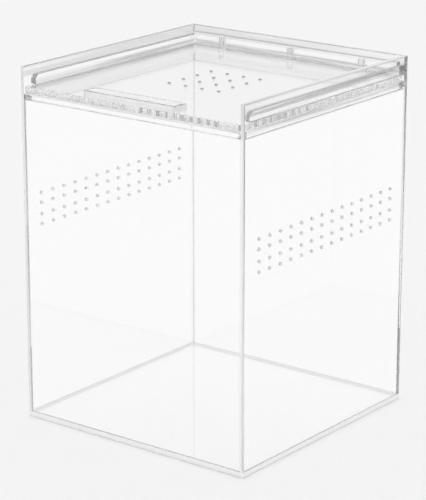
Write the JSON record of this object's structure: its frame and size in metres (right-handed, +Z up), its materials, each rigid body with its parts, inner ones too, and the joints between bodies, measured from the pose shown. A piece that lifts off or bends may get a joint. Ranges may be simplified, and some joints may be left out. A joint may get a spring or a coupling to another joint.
{
  "type": "acrylic reptile enclosure",
  "caption": "Clear acrylic box for a small reptile, with vented side walls and a vented lid that slides forward out of guide bars, over a low front wall, by a pull bar.",
  "frame": {"origin": "middle of the underside of the floor panel", "axes": "+Z up; the low front wall and the lid's grip face -Y; +X to the right as seen from the front"},
  "size_m": [0.2, 0.2, 0.267],
  "materials": {
    "wall_sheet": "clear polished acrylic",
    "guide_bar": "clear polished acrylic",
    "lid_sheet": "clear polished acrylic",
    "grip_bar": "clear polished acrylic"
  },
  "bodies": {
    "enclosure": {"floor_panel": "wall_sheet", "left_wall": "wall_sheet", "right_wall": "wall_sheet", "back_wall": "wall_sheet", "front_wall": "wall_sheet", "left_lower_guide": "guide_bar", "right_lower_guide": "guide_bar", "back_lower_guide": "guide_bar", "front_lower_guide": "guide_bar", "left_upper_guide": "guide_bar", "right_upper_guide": "guide_bar", "back_upper_guide": "guide_bar", "left_keeper": "guide_bar", "centre_keeper": "guide_bar", "right_keeper": "guide_bar"},
    "lid": {"lid_panel": "lid_sheet", "lid_grip": "grip_bar"}
  },
  "joints": [
    {"name": "lid_slide", "type": "slide", "parent": "enclosure", "child": "lid", "axis": [0, -1, 0], "range_m": [0, 0.2]}
  ]
}
